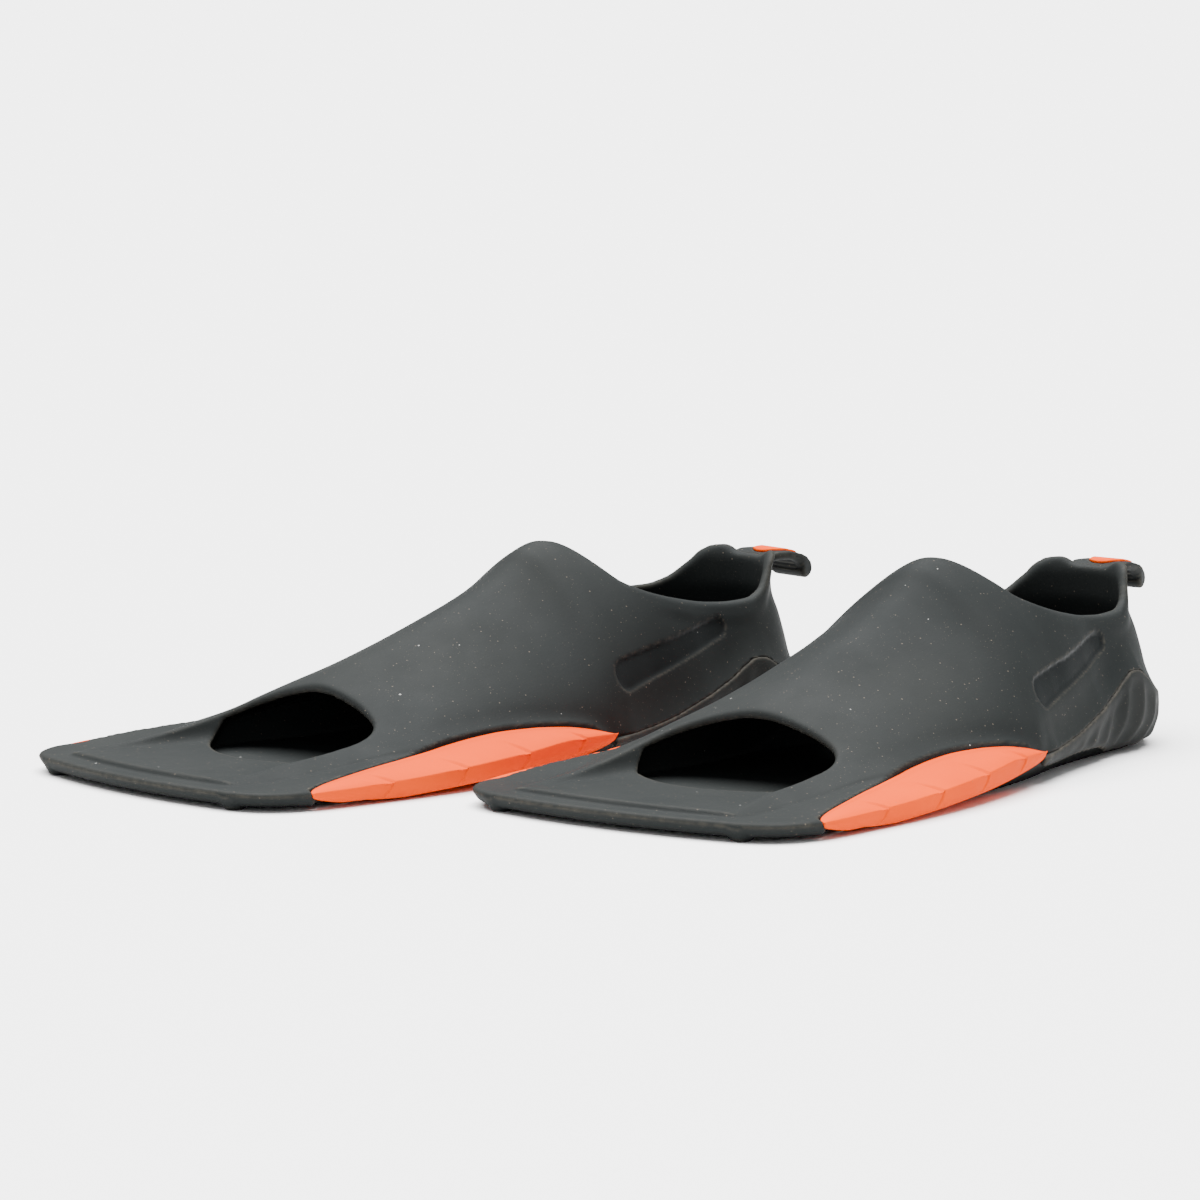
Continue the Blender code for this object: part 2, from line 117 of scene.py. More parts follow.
def curve(*points):
    """A smooth function through (position, value) points that never overshoots them."""
    at, value = np.array(points, float).T
    rise = np.diff(value) / np.diff(at)
    slope = np.zeros(len(at))
    same = rise[1:] * rise[:-1] > 0
    slope[1:-1][same] = 2 * rise[1:][same] * rise[:-1][same] / (rise[1:] + rise[:-1])[same]
    slope[0], slope[-1] = rise[0], rise[-1]

    def read(position):
        p = np.clip(position, at[0], at[-1])
        i = np.clip(np.searchsorted(at, p, side="right"), 1, len(at) - 1)
        width = at[i] - at[i - 1]
        t = (p - at[i - 1]) / width
        near = (2 * t**3 - 3 * t**2 + 1) * value[i - 1] + (t**3 - 2 * t**2 + t) * width * slope[i - 1]
        far = (3 * t**2 - 2 * t**3) * value[i] + (t**3 - t**2) * width * slope[i]
        return near + far

    return read


# Lines along the fin. Each gives X, Z, a slope or a number that shapes the arch for a Y, apart
# from heel_x and heel_reach, which give X and Y for a Z.
edge_x = curve((-15, 87.5), (0, 89.5), (20, 91.5), (45, 93), (75, 93), (100, 92.2), (138, 89),
               (175, 82.8), (204, 76.5), (225, 70), (250, 64.5), (281, 57.5), (300, 54))
edge_z = curve((-15, 6.8), (22, 7.6), (70, 8.9), (110, 11.0), (145, 13.4), (175, 15.6), (204, 15.0))
inlet_x = curve((10, 90), (22, 88.5), (26, 86.5), (35, 84.3), (51, 81.5), (67, 78), (84, 74.5),
                (100, 71.2), (115, 69.2), (130, 68.6), (146, 69.2), (160, 70.8), (175, 72.6), (190, 74.6),
                (204, 76.3))
inlet_z = curve((-15, 7.8), (20, 8.6), (35, 10.8), (51, 12.8), (67, 14.2), (84, 15.4), (100, 16.7),
                (115, 18.6), (130, 20.3), (146, 21.5), (160, 21.7), (175, 21.0), (190, 18.9),
                (204, 15.6))
foot_x = curve((-5, 61), (20, 62), (40, 62.5), (58, 63.5), (70, 65), (80, 66.2), (90, 67.6),
               (100, 68.6), (115, 67.4), (130, 66.4), (146, 66.8), (160, 68.2), (175, 70.2),
               (185, 71.6), (195, 72.8), (204, 73), (215, 70.2), (225, 67), (250, 61), (281, 54.3),
               (300, 50.8))
foot_z = curve((-5, 8.6), (20, 9.2), (40, 10.6), (58, 12.2), (70, 13.9), (80, 15.2), (90, 16.0),
               (100, 16.7), (115, 18.6), (130, 20.3), (146, 21.5), (160, 21.7), (175, 21.0),
               (190, 18.9), (204, 15.6))
crest_z = curve((-8, 12.4), (3, 13.8), (20, 17.2), (38, 21.5), (60, 25.5), (76, 28.5), (85, 32),
                (94, 36), (101, 40), (110, 43.8), (122, 47.8), (136, 52.8), (152, 58.8), (168, 65),
                (184, 71.6), (195, 77), (205, 83.5), (214, 90), (223, 93), (232, 92),
                (256, 90), (286, 85))
arch_round = curve((180, 12), (205, 11), (220, 12), (235, 25), (250, 60), (270, 200))
arch_lean = curve((5, 2.4), (40, 1.0), (130, 1.0), (180, 1.05), (220, 1.0))
arch_rise = curve((180, 1.5), (205, 1.7), (220, 1.9), (235, 2.0))
heel_x = curve((0, 43), (8, 48.5), (15, 50.5), (25, 49.5), (40, 46.5), (52, 43), (62, 39), (72, 37.5),
               (85, 37))
heel_reach = curve((0, 52.5), (9, 59), (18, 60.9), (30, 58.5), (42, 56), (54, 53.2), (65, 50.5),
                   (73, 50.5), (80, 53.5), (86, 57))
topline_z = curve((200, 140), (222, 103), (232, 91.5), (238, 83), (244, 75.8), (256, 70.5), (274, 66),
                  (290, 63.2), (304, 62.2), (316, 62.6), (326, 65.6), (334, 72), (340, 78),
                   (345, 80.4), (350, 80.8), (375, 80.8))
under_x = curve((55, 90), (75, 78), (100, 74), (165, 68), (205, 62), (250, 50), (281, 44.5),
                (300, 42))
under_slope = curve((55, 0.05), (100, 0.14), (138, 0.27), (165, 0.42), (205, 0.8), (250, 1.0),
                    (300, 1.2))
under_z = curve((50, 2.0), (72, 0.0))

scoop_x = curve((-5, 60), (3, 59.5), (20, 53.5), (38, 48.5), (60, 48), (74, 47.2), (84, 45), (100, 40))
panel_z = curve((-10, 11.3), (30, 10.9), (52, 10.3))
guard_z = curve((204, 12.3), (216, 13), (232, 14.5), (248, 17), (264, 21), (280, 25.3), (292, 29),
                (302, 34), (310, 37.3), (316, 36.8), (324, 32.5), (334, 27), (345, 24), (366, 23))


# ---------------------------------------------------------------- combining solids
def mix(a, b, share):
    return a + (b - a) * share


def ramp(value, low, high):
    """0 below low, 1 above high and smooth between them."""
    t = np.clip((value - low) / (high - low), 0.0, 1.0)
    return t * t * (3 - 2 * t)


def both(a, b, radius):
    """What two solids share, its edge rounded over."""
    h = np.clip(0.5 + 0.5 * (a - b) / radius, 0.0, 1.0)
    return mix(b, a, h) + radius * h * (1 - h)


def either(a, b, radius):
    """Two solids joined, with a fillet between them."""
    return -both(-a, -b, radius)


def without(a, b, radius):
    """The first solid with the second cut out of it."""
    return both(a, -b, radius)


def even(field, x, y, z, reach=0.4):
    """A field rescaled so that its value is close to a distance in millimetres."""
    value = field(x, y, z)
    rises = (
        field(x + reach, y, z) - field(x - reach, y, z),
        field(x, y + reach, z) - field(x, y - reach, z),
        field(x, y, z + reach) - field(x, y, z - reach),
    )
    length = np.sqrt(sum(rise * rise for rise in rises)) / (2 * reach)
    return value / np.maximum(length, 1e-4)


def below(height, x, y, z, reach=0.4):
    """The solid under a height given for each X and Y."""
    level = height(x, y)
    slope_x = (height(x + reach, y) - height(x - reach, y)) / (2 * reach)
    slope_y = (height(x, y + reach) - height(x, y - reach)) / (2 * reach)
    return (z - level) / np.sqrt(1 + slope_x**2 + slope_y**2)


# ---------------------------------------------------------------- the fin's outer form
def across(x, half, round_top):
    """0 at the middle and 1 at the side: even slopes with a rounded top between them."""
    return (np.hypot(x, round_top) - round_top) / (np.hypot(half, round_top) - round_top)


def arch_wall(x, y, z):
    """The raised panel and the foot pocket's arch: sloping shoulders that turn round at the back."""
    rise = np.maximum(z - foot_z(y), 0.0) / (crest_z(y) - foot_z(y))
    return across(x, foot_x(y), arch_round(y)) ** arch_lean(y) + rise ** arch_rise(y) - 1


def flange_height(x, y):
    """Top of the border round the raised part, sloping down over the side inserts."""
    x = np.abs(x)
    inner, middle, outer = foot_x(y), inlet_x(y), edge_x(y)
    inward = np.clip((x - inner) / np.maximum(middle - inner, 0.5), 0.0, 1.0)
    down = np.clip((x - middle) / np.maximum(outer - middle, 0.5), 0.0, 1.2)
    return mix(foot_z(y), inlet_z(y), inward) + (edge_z(y) - inlet_z(y)) * down


def underside(x, y):
    """Height of the fin's bottom, which is flat under the foot and rises towards the sides."""
    return under_z(y) + under_slope(y) * np.maximum(np.abs(x) - under_x(y), 0.0)


def front_edge(x):
    """Y of the blade's bowed front."""
    return -FRONT_BOW + BOW_FALL * (x / CORNER_X) ** 2


def plan(x, y):
    """The fin's outline seen from above: bowed front, rounded corners and sides."""
    side = np.abs(x) - edge_x(y)
    return both(side, front_edge(x) - y, 26.0)


def pocket_wall(x, y, z):
    """The arch, which closes behind into the rounded heel."""
    rise = np.maximum(z - foot_z(y), 0.0) / (crest_z(y) - foot_z(y))
    upright = mix(foot_x(y) * np.sqrt(np.maximum(1 - rise**2, 0.03)), heel_x(z), ramp(y, 272, 305))
    back = np.maximum(y - HEEL_CENTRE, 0.0) / heel_reach(z)
    heel = (x / upright) ** 2 + back**2.4 - 1
    return mix(arch_wall(x, y, z), heel, ramp(y, 240, 264))


def collar_swell(y, z):
    """The soft roll of the collar just under the ankle opening's edge."""
    depth = topline_z(y) - z
    return 0.9 * ramp(depth, -2, 3) * (1 - ramp(depth, 5, 11)) * ramp(y, 245, 275)


def guard_flare(y, z):
    """How far the wall sweeps out to meet the heel guard's upper edge."""
    over = np.clip((z - guard_z(y)) / 14.0, 0.0, 1.0)
    return GUARD_PROUD * (1 - over) ** 2.2 * ramp(z - guard_z(y), -1.0, -0.2) * ramp(y, 203, 222)


def outer_form(x, y, z):
    """The fin's outside, before anything is hollowed out."""
    undercut = 0.55 * np.maximum(6.5 - z, 0.0) * (1 - ramp(y, 15, 30))
    flange = both(below(flange_height, x, y, z), plan(x, y) + undercut, 2.2)
    raised_front = front_edge(x) + 10.6 - y + 0.25 * (z - 9.0)
    raised = both(np.abs(x) - foot_x(y), raised_front, 7.0)
    wall = even(pocket_wall, x, y, z)
    dome = both(wall, raised, 0.5)
    front = either(flange, dome, mix(1.6, 7.0, ramp(y, 10, 110)))
    rear = wall - collar_swell(y, z) - guard_flare(y, z)
    form = mix(front, rear, ramp(y, 188, 214))
    sole = (underside(x, y) - z) / np.sqrt(1 + under_slope(y) ** 2)
    form = both(form, sole, 2.5)
    nub = np.sqrt((np.abs(x) - 64.6) ** 2 + (y - 1.0) ** 2) - 5.0 - 0.5 * (z - 1.0)
    return either(form, both(both(nub, -z, 1.5), z - 6.0, 1.0), 1.2)


# ---------------------------------------------------------------- hollows and openings
def foot_space(x, y, z):
    """The hollow for the foot, closed over the toes and open at the ankle."""
    side = np.abs(x) - foot_x(y) + 0.35 * np.maximum(z - foot_z(y), 0) + 6.0 * (1 - ramp(y, 190, 215))
    lip = 51.0 + 0.0095 * x**2 + 0.7 * (z - 10.0) - y
    bed = FLOOR + under_slope(y) * np.maximum(np.abs(x) - under_x(y) + WALL, 0.0)
    space = both(even(pocket_wall, x, y, z) + WALL, side, 6.0)
    space = both(space, (bed - z) / np.sqrt(1 + under_slope(y) ** 2), 2.0)
    return both(space, lip, 1.5)


def toe_scoop(x, y, z):
    """What is cut away above the panel, between its two ridges and under the toe arch."""
    side = np.abs(x) - scoop_x(y) - 0.55 * (z - panel_z(y))
    rear = y - 97.0 + 6.0 * (np.abs(x) / 48.0) ** 4
    scoop = both(side, rear, 10.0)
    return both(scoop, panel_z(y) - z, 5.0)


def ankle_cut(x, y, z):
    """Everything above the ankle opening's edge, which dips between the two ears."""
    reach = 0.4
    slope = (topline_z(y + reach) - topline_z(y - reach)) / (2 * reach)
    dip = 3.4 * np.exp(-((x / 13.0) ** 6)) * ramp(y, 335, 347)
    return (topline_z(y) - dip - z) / np.sqrt(1 + slope**2)


def insert_region(x, y, z, grow):
    """The space of a side insert, which takes the blade's whole edge, grown a little."""
    inner = inlet_x(y) - np.abs(x)
    ends = np.maximum(INSERT_SPAN[0] - y + 0.35 * (12 - z), y - INSERT_SPAN[1])
    return both(inner, ends, 1.5) - grow


def capsule(y, z):
    """Distance from a plain slanting capsule on the side wall, seen from the side."""
    (ay, az), (by, bz) = CAPSULE
    length2 = math.dist(*CAPSULE) ** 2
    along = np.clip(((y - ay) * (by - ay) + (z - az) * (bz - az)) / length2, 0, 1)
    return np.hypot(y - mix(ay, by, along), z - mix(az, bz, along)) - mix(6.9, 4.6, along)


def skin(x, y, z):
    """The grey moulding, hollow and open, with seats for the inserts."""
    body = outer_form(x, y, z) + 1.1 * (1 - ramp(capsule(y, z), -1.2, 0.6))
    body = without(body, toe_scoop(x, y, z), 1.8)
    body = without(body, foot_space(x, y, z), 1.6)
    body = both(body, -ankle_cut(x, y, z), 2.0)
    return without(body, insert_region(x, y, z, 0.25), 0.5)


def insert_row(y):
    """One section of an insert: its upper edge, its crease, its lower edge and its inner corner."""
    inner = np.array([inlet_x(y) + 0.15, inlet_z(y) - 0.8])
    crease = np.array([edge_x(y) + 0.4, edge_z(y) + 0.1])
    lift = 0.3 + 2.0 * (1 - ramp(y, INSERT_SPAN[0], INSERT_SPAN[0] + 18))
    foot = np.array([edge_x(y) - 0.6, underside(edge_x(y) - 0.6, y) + lift])
    base = np.array([inlet_x(y) + 0.3, underside(inlet_x(y), y) + lift])
    middle, end = 0.5 * sum(INSERT_SPAN), INSERT_SPAN[1]
    shut = np.clip(1 - np.abs((y - middle) / (end - middle)) ** 40, 0.0, 1.0) ** 0.5
    return [crease + (corner - crease) * shut for corner in (inner, crease, foot, base)]


def guard(x, y, z):
    """The ribbed band round the heel."""
    base = even(pocket_wall, x, y, z)
    lean = 1.15 * (np.minimum(z, 32.0) - np.minimum(z, 32.0) ** 2 / 64.0)
    flute = np.sqrt(np.sin(math.pi * (around_heel(x, y) - lean) / FLUTE) ** 2 + 0.05)
    fade = ramp(guard_z(y) - z, 1.5, 9) * ramp(y, 208, 230)
    thick = GUARD_PROUD + 0.4 - 1.3 * flute * fade
    band = both(base - thick, z - guard_z(y), 0.9)
    band = both(band, GUARD_START - y, 2.0)
    foot = 2.4 + 0.9 * np.maximum(np.abs(x) - under_x(y) - 6.0, 0.0) + 3.0 * ramp(y, 320, 350)
    band = both(band, foot - z, 1.8)
    return both(band, 0.05 - base, 0.3)


# ---------------------------------------------------------------- the other solids
def around_heel(x, y):
    """Distance along the fin's side, which goes on round the heel."""
    turn = np.arctan2(np.maximum(y - HEEL_CENTRE, 0.0), np.maximum(np.abs(x), 1e-3))
    return np.minimum(y, HEEL_CENTRE) + HEEL_RADIUS * turn


def hook(x, y, z):
    """Distance to the tab's middle line, how far along it that is, and whether above it.

    The line's root curves round with the heel's wall.
    """
    y = y + 0.02 * x**2 * (1 - ramp(y, 352, 362))
    best, share, above = 1e9, 0.0, False
    for i in range(len(TAB_LINE) - 1):
        (ay, az), (by, bz) = TAB_LINE[i], TAB_LINE[i + 1]
        length2 = (by - ay) ** 2 + (bz - az) ** 2
        t = np.clip(((y - ay) * (by - ay) + (z - az) * (bz - az)) / length2, 0.0, 1.0)
        gap = np.hypot(y - ay - t * (by - ay), z - az - t * (bz - az))
        side = (y - ay) * (bz - az) - (z - az) * (by - ay)
        share = np.where(gap < best, (i + t) / (len(TAB_LINE) - 1), share)
        above = np.where(gap < best, side < 0, above)
        best = np.minimum(gap, best)
    return best, share, above


def tab(x, y, z):
    """The pull tab: a tongue with a thick rounded end, ribbed underneath."""
    gap, share, above = hook(x, y, z)
    thick = mix(1.9, 4.3, ramp(share, 0.5, 0.95))
    ribs = 0.5 * np.cos(2 * math.pi * share * 8.0)
    ribs = ribs * ramp(share, 0.45, 0.5) * (1 - ramp(share, 0.84, 0.9))
    ribs = ribs * (1 - ramp(np.abs(x), 7.0, 9.0))
    half = mix(14.0, 12.0, ramp(share, 0.3, 0.7)) - 2.0 * ramp(y, 371, 379)
    body = both(gap - thick - np.where(above, 0.0, ribs), np.abs(x) - half, 2.2)
    return without(body, inlay_region(x, y, z, 0.2), 0.4)


def inlay_region(x, y, z, grow=0.0):
    """The oval space that the inlay takes in the tab's upper face."""
    gap, share, above = hook(x, y, z)
    oval = (np.hypot(x / 9.0, (share - 0.50) / 0.235) - 1) * 8.0
    return both(oval, np.where(above, 1.3 - gap, 5.0), 0.3) - grow


def inlay(x, y, z):
    """The orange oval let into the tab's upper face."""
    gap = hook(x, y, z)[0]
    return both(gap - 2.9, inlay_region(x, y, z), 0.8)


def sole(x, y, z):
    """The thin sole under the foot, with shallow grip grooves."""
    behind = np.maximum(y - HEEL_CENTRE, 0.0)
    back = (x / (heel_x(0) - 6.0)) ** 2 + (behind / (heel_reach(0) - 6.0)) ** 2
    outline = np.where(y < HEEL_CENTRE, np.abs(x) - under_x(y) + 6.0, (np.sqrt(back) - 1) * 40.0)
    outline = both(outline, SOLE_START - y, 10.0)
    groove = 0.5 * ramp(np.cos(2 * math.pi * (y + 0.5 * np.abs(x)) / 9.0), 0.6, 1.0)
    slab = both(z - 1.6, groove - z, 0.4)
    return both(outline, slab, 0.5)


# ---------------------------------------------------------------- meshes
def surface_net(field, low, high, step):
    """An even quad mesh of the surface where a field is zero, the same on both sides of X = 0.

    Each grid cell that the surface crosses gets one point, and each grid edge that it crosses
    gets one face. The points are then evened out and moved onto the surface itself.
    """
    counts = [int(math.ceil(high[0] / step))]
    counts += [int(math.ceil((high[i] - low[i]) / step)) + 1 for i in (1, 2)]
    x = (np.arange(counts[0]) + 0.5) * step
    y, z = (low[i] + np.arange(counts[i]) * step for i in (1, 2))
    value = np.broadcast_to(field(x[:, None, None], y[None, :, None], z[None, None, :]), counts)
    value = np.concatenate([value[::-1], value])
    start = np.array([-x[-1], low[1], low[2]])
    cells = np.array(value.shape) - 1
    place, hits, quads, at_cell = np.zeros((cells.prod(), 3)), np.zeros(cells.prod()), [], []
    for axis in range(3):
        here = np.moveaxis(value, axis, 0)
        i, j, k = np.nonzero((here[:-1] < 0) != (here[1:] < 0))
        a, b = here[i, j, k], here[i + 1, j, k]
        order = [axis] + [n for n in range(3) if n != axis]
        index = np.empty((len(i), 3), int)
        index[:, order[0]], index[:, order[1]], index[:, order[2]] = i, j, k
        point = index.astype(float)
        point[:, axis] += a / (a - b)
        one, two = (axis + 1) % 3, (axis + 2) % 3
        keep = np.all((index[:, [one, two]] > 0) & (index[:, [one, two]] < cells[[one, two]]), axis=1)
        index, point, a = index[keep], point[keep], a[keep]
        corners = []
        for shift_one, shift_two in ((0, 0), (-1, 0), (-1, -1), (0, -1)):
            cell = index.copy()
            cell[:, one] += shift_one
            cell[:, two] += shift_two
            corners.append(np.ravel_multi_index(cell.T, cells))
        corners = np.stack(corners, axis=1)
        for corner in corners.T:
            for n in range(3):
                place[:, n] += np.bincount(corner, point[:, n], len(place))
            hits += np.bincount(corner, minlength=len(hits))
        quads.append(np.where((a < 0)[:, None], corners, corners[:, ::-1]))
    quads = np.concatenate(quads)
    used, faces = np.unique(quads, return_inverse=True)
    faces = faces.reshape(quads.shape)
    points = start + place[used] / hits[used][:, None] * step
    return settle(points, faces, field, step), faces


def slopes(points, field, reach=0.25):
    """The field's value and gradient at each point."""
    columns = [points[:, n] for n in range(3)]
    gradient = np.empty_like(points)
    for n in range(3):
        ahead, behind = list(columns), list(columns)
        ahead[n], behind[n] = columns[n] + reach, columns[n] - reach
        gradient[:, n] = (field(*ahead) - field(*behind)) / (2 * reach)
    return field(*columns), gradient


def onto(points, field, step):
    """Points moved along the gradient onto the surface."""
    value, gradient = slopes(points, field)
    move = value[:, None] * gradient / np.maximum((gradient**2).sum(1), 0.05)[:, None]
    size = np.linalg.norm(move, axis=1)
    return points - move * np.minimum(1.0, 0.7 * step / np.maximum(size, 1e-9))[:, None]


def settle(points, faces, field, step):
    """Evens out a mesh's points along the surface and moves them back onto it."""
    edges = np.concatenate([faces[:, [0, 1]], faces[:, [1, 2]], faces[:, [2, 3]], faces[:, [3, 0]]])
    edges = np.unique(np.sort(edges, axis=1), axis=0)
    ends, others = np.concatenate([edges, edges[:, ::-1]]).T
    neighbours = np.bincount(ends, minlength=len(points))[:, None]
    for _ in range(SMOOTH_ROUNDS):
        middle = [np.bincount(ends, points[others, n], len(points)) for n in range(3)]
        points = points + 0.5 * (np.stack(middle, axis=1) / neighbours - points)
        points = onto(points, field, step)
    return onto(points, field, step)


def bend_of(points, field, reach=0.9):
    """How sharply the surface bends at each point: above 0 on ridges, below 0 in valleys."""
    total = -6 * field(*points.T)
    for n in range(3):
        for sign in (-1, 1):
            moved = points.copy()
            moved[:, n] += sign * reach
            total = total + field(*moved.T)
    return total / reach**2


# ---------------------------------------------------------------- placing the pieces
class Fin:
    """Where one fin of the pair stands, read from its blade hinge in the CAD."""

    def __init__(self, side):
        self.side = side
        joints = frame["record"]["behaviour"]["joints"]
        hinge = next(joint for joint in joints if joint["name"] == side + "_blade_flex")
        turn = math.atan2(-hinge["axis"][1], -hinge["axis"][0])
        self.place = (
            Matrix.Translation(Vector(hinge["pos_m"]))
            @ Matrix.Rotation(turn, 4, "Z")
            @ Matrix.Translation(Vector((0, -BLADE_HINGE[0] * MM, -BLADE_HINGE[1] * MM)))
        )

    def name(self, piece):
        return self.side + "_" + piece

    def at(self, x, y, z):
        return self.place @ Vector((x * MM, y * MM, z * MM))


def add_piece(fin, name, points, faces, material, nodes, levels=None):
    """A mesh object of one fin, in the row frame, that stands for some CAD nodes."""
    mesh = bpy.data.meshes.new(fin.name(name))
    turn = np.array(fin.place.to_3x3())
    mesh.from_pydata(points * MM @ turn.T + np.array(fin.place.translation), [],
                    [list(face) for face in faces])
    mesh.shade_smooth()
    for label, values in (levels or {}).items():
        attribute = mesh.attributes.new(label, "FLOAT", "POINT")
        attribute.data.foreach_set("value", values.astype(np.float32))
    mesh.materials.append(material)
    obj = bpy.data.objects.new(fin.name(name), mesh)
    bpy.context.scene.collection.objects.link(obj)
    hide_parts(*[fin.name(n) for n in nodes])
    return obj


def part_of(faces, keep):
    """Which points the kept faces use, and those faces numbered over them."""
    used, kept = np.unique(faces[keep], return_inverse=True)
    return used, kept.reshape(-1, faces.shape[1])


def close_cut(obj):
    """Joins the outer and the inner rim of a cut through the wall."""
    mesh = bmesh.new()
    mesh.from_mesh(obj.data)
    rims = [edge for edge in mesh.edges if edge.is_boundary]
    for edge in rims:
        edge.smooth = False
    bmesh.ops.bridge_loops(mesh, edges=rims)
    mesh.to_mesh(obj.data)
    mesh.free()


# ---------------------------------------------------------------- materials
def nodes_of(name):
    """A new material, its node tree and its shader."""
    material = bpy.data.materials.new(name)
    material.use_nodes = True
    tree = material.node_tree
    return material, tree, tree.nodes["Principled BSDF"]


def node(tree, kind, inputs=None, **settings):
    """A shader node with some settings, and inputs that are numbers or other nodes' outputs."""
    made = tree.nodes.new(kind)
    for key, value in settings.items():
        setattr(made, key, value)
    for key, value in (inputs or {}).items():
        if isinstance(value, bpy.types.NodeSocket):
            tree.links.new(value, made.inputs[key])
        else:
            made.inputs[key].default_value = value
    return made


def noise(tree, scale, detail, stretch=(1, 1, 1)):
    """Noise over the object's own coordinates; scale is in waves a metre."""
    where = node(tree, "ShaderNodeTexCoord").outputs["Object"]
    moved = node(tree, "ShaderNodeMapping", {"Vector": where, "Scale": stretch}).outputs[0]
    settings = {"Vector": moved, "Scale": scale, "Detail": detail, "Roughness": 0.55}
    return node(tree, "ShaderNodeTexNoise", settings).outputs["Fac"]


def remap(tree, value, low, high, to_low=0.0, to_high=1.0):
    """A value stretched from one range to another and held within it."""
    return node(tree, "ShaderNodeMapRange", {"Value": value, "From Min": low, "From Max": high,
                                             "To Min": to_low, "To Max": to_high}).outputs[0]


def maths(tree, operation, a, b):
    """The outcome of a sum on two values, each a number or another node's output."""
    made = tree.nodes.new("ShaderNodeMath")
    made.operation = operation
    for socket, value in zip(made.inputs, (a, b)):
        if isinstance(value, bpy.types.NodeSocket):
            tree.links.new(value, socket)
        else:
            socket.default_value = value
    return made.outputs[0]


def blended(tree, share, a, b):
    """Colour a where share is 0 and colour b where it is 1."""
    made = node(tree, "ShaderNodeMix", data_type="RGBA")
    for socket, value in ((made.inputs[0], share), (made.inputs[6], a), (made.inputs[7], b)):
        if isinstance(value, bpy.types.NodeSocket):
            tree.links.new(value, socket)
        elif isinstance(value, tuple):
            socket.default_value = (*value, 1.0)
        else:
            socket.default_value = value
    return made.outputs[2]


def specks(tree, scale, share, size):
    """Scattered small specks: 1 on a speck, 0 elsewhere."""
    where = node(tree, "ShaderNodeTexCoord").outputs["Object"]
    cells = node(tree, "ShaderNodeTexVoronoi", {"Vector": where, "Scale": scale})
    chance = node(tree, "ShaderNodeSeparateColor", {"Color": cells.outputs["Color"]}).outputs
    shown = maths(tree, "LESS_THAN", chance[0], share)
    radius = remap(tree, chance[1], 0.0, 1.0, size * 0.35, size)
    near = maths(tree, "LESS_THAN", cells.outputs["Distance"], radius)
    return maths(tree, "MULTIPLY", shown, near)


def rubber(name, base, pale, roughness, wear_colour, dust=1.0, shine=0.035):
    """Matte moulded rubber with cloudy bloom, fine grain, dust specks, and paler worn edges."""
    material, tree, shader = nodes_of(name)
    cloud = remap(tree, noise(tree, 14.0, 4.0), 0.35, 0.7)
    colour = blended(tree, cloud, base, pale)
    wear = node(tree, "ShaderNodeAttribute", attribute_name="wear").outputs["Fac"]
    patchy = remap(tree, noise(tree, 260.0, 2.0), 0.35, 0.65, 0.35, 1.0)
    colour = blended(tree, maths(tree, "MULTIPLY", wear, patchy), colour, wear_colour)
    for scale, share, size, strength, speck in DUST:
        shown = specks(tree, scale, share * dust, size)
        colour = blended(tree, maths(tree, "MULTIPLY", shown, strength), colour, speck)
    gloss = node(tree, "ShaderNodeAttribute", attribute_name="gloss").outputs["Fac"]
    colour = blended(tree, maths(tree, "MULTIPLY", gloss, 0.5), colour, GLOSS_COLOUR)
    tree.links.new(colour, shader.inputs["Base Color"])
    sheen = remap(tree, noise(tree, 30.0, 5.0), 0.3, 0.7, roughness - 0.05, roughness + 0.06)
    smoother = maths(tree, "MULTIPLY", gloss, roughness - GLOSS_ROUGHNESS)
    tree.links.new(maths(tree, "SUBTRACT", sheen, smoother), shader.inputs["Roughness"])
    grain = noise(tree, 1400.0, 2.0)
    scratch = noise(tree, 900.0, 1.0, (1.0, 0.05, 0.4))
    height = maths(tree, "ADD", grain, maths(tree, "MULTIPLY", scratch, 0.5))
    bump = node(tree, "ShaderNodeBump", {"Strength": 0.12, "Distance": 0.0004, "Height": height})
    tree.links.new(bump.outputs[0], shader.inputs["Normal"])
    shader.inputs["Specular IOR Level"].default_value = shine
    return material


skin_rubber = rubber("fin_rubber", (0.0106, 0.0122, 0.0122), (0.0145, 0.0160, 0.0156), 0.60,
                     (0.034, 0.032, 0.027))
guard_rubber = rubber("guard_rubber", (0.0130, 0.0142, 0.0140), (0.0180, 0.0186, 0.0176), 0.60,
                      (0.046, 0.042, 0.035))
orange_rubber = rubber("insert_rubber", (0.56, 0.046, 0.0005), (0.60, 0.054, 0.001), 0.56,
                       (0.62, 0.09, 0.004), dust=0.25, shine=0.015)
inlay_rubber = rubber("inlay_rubber", (0.52, 0.036, 0.0005), (0.56, 0.042, 0.001), 0.52,
                      (0.6, 0.07, 0.002), dust=0.2, shine=0.015)


# ---------------------------------------------------------------- building the pair
def levels_for(points, field):
    """How worn each point is, by how sharply it bends, and how glossy: the side capsules are."""
    inside = 1 - ramp(capsule(points[:, 1], points[:, 2]), -0.6, 0.4)
    on_side = np.abs(points[:, 0]) > 30.0
    return {"wear": ramp(bend_of(points, field), 0.25, 0.9), "gloss": inside * on_side}


